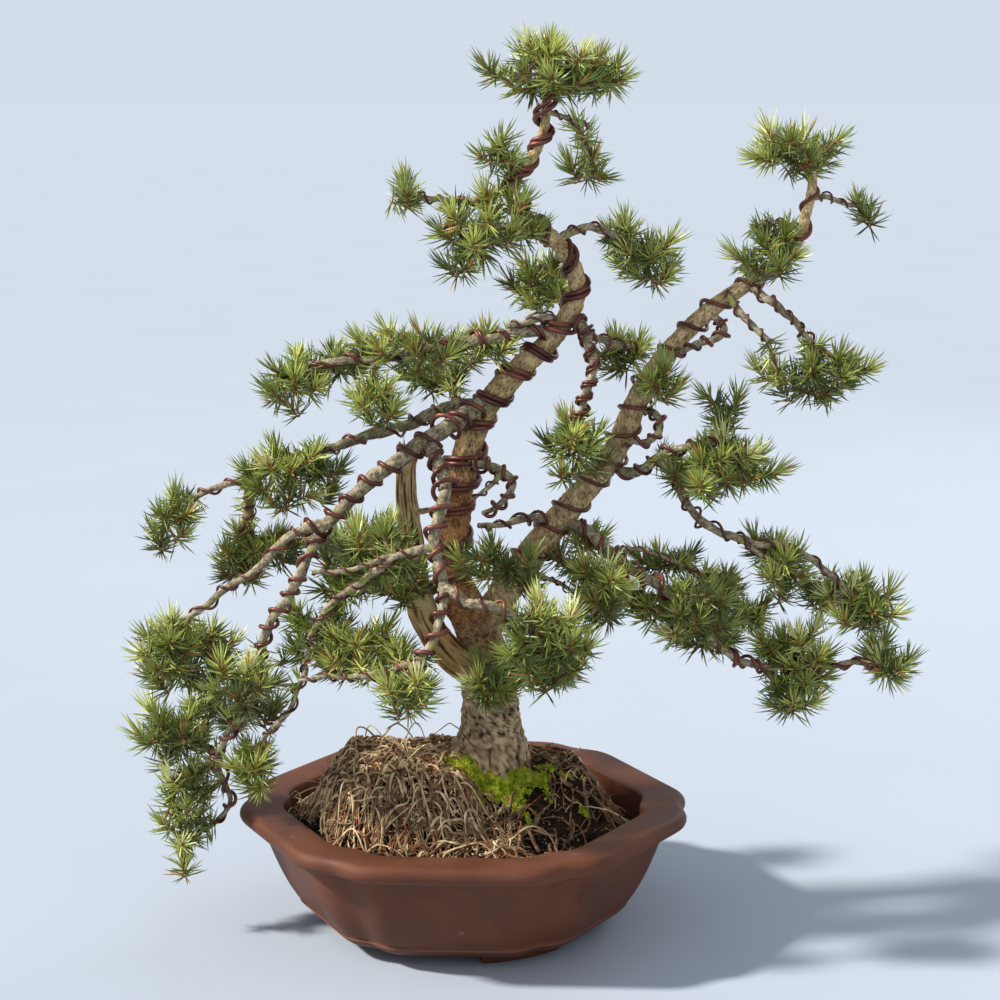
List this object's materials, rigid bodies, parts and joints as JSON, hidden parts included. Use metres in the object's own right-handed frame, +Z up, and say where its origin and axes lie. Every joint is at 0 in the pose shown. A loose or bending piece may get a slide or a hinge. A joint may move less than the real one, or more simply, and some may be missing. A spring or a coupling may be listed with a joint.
{
  "type": "wired bonsai pine in a pot",
  "caption": "Bonsai pine with a leaning trunk, a second trunk, bent wired boughs, deadwood and separate clouds of needles, in a brown six-lobed clay pot.",
  "frame": {"origin": "Under the middle of the whole plant, level with the undersides of the pot's feet.", "axes": "+Z up; the front of the tree faces -Y; +X is towards the side the second trunk leans to."},
  "size_m": [0.894, 0.4884, 1],
  "materials": {
    "pot_clay": "unglazed fired clay, matt with a faint waxy sheen on the lip",
    "root_mat": "mat of thin dry roots over dark gritty soil, with moss",
    "trunk_bark": "flaking plates at the foot, thin orange and pale tan bark above",
    "deadwood": "bare weathered grain, cracked",
    "bough_bark": "rough grey-tan bark with lichen",
    "needles": "stiff green needles in tufts, paler at the tips",
    "wire": "dark red-brown anodised wire, satin"
  },
  "bodies": {
    "root": {"deadwood": "deadwood", "down_bough": "bough_bark", "foliage_apex": "needles", "foliage_back_left": "needles", "foliage_back_right": "needles", "foliage_behind_right": "needles", "foliage_centre_front": "needles", "foliage_centre_left": "needles", "foliage_centre_right": "needles", "foliage_crown_back": "needles", "foliage_crown_left": "needles", "foliage_far_left": "needles", "foliage_far_right": "needles", "foliage_front": "needles", "foliage_front_low": "needles", "foliage_left_lower": "needles", "foliage_left_middle": "needles", "foliage_left_middle_outer": "needles", "foliage_left_upper": "needles", "foliage_left_upper_back": "needles", "foliage_left_upper_front": "needles", "foliage_left_upper_outer": "needles", "foliage_low_left_inner": "needles", "foliage_low_left_middle": "needles", "foliage_low_left_outer": "needles", "foliage_low_left_tip": "needles", "foliage_low_left_under": "needles", "foliage_right_arm": "needles", "foliage_right_long": "needles", "foliage_right_long_outer": "needles", "foliage_right_low": "needles", "foliage_right_low_inner": "needles", "foliage_right_low_outer": "needles", "foliage_right_middle": "needles", "foliage_right_pad": "needles", "foliage_right_small": "needles", "foliage_right_top": "needles", "foliage_right_top_inner": "needles", "foliage_upper_left": "needles", "foliage_upper_right": "needles", "front_hanging_bough": "bough_bark", "front_left_bough": "bough_bark", "front_side_bough": "bough_bark", "knob_bough": "bough_bark", "left_middle_bough": "bough_bark", "left_upper_bough": "bough_bark", "low_left_front_bough": "bough_bark", "low_left_inner_bough": "bough_bark", "low_left_outer_bough": "bough_bark", "pot": "pot_clay", "right_arm": "bough_bark", "right_inner_bough": "bough_bark", "right_long_bough": "bough_bark", "right_low_bough": "bough_bark", "right_middle_bough": "bough_bark", "right_pad_bough": "bough_bark", "right_trunk": "trunk_bark", "root_ball": "root_mat", "trunk": "trunk_bark", "upper_left_arm": "bough_bark"}
  },
  "joints": []
}
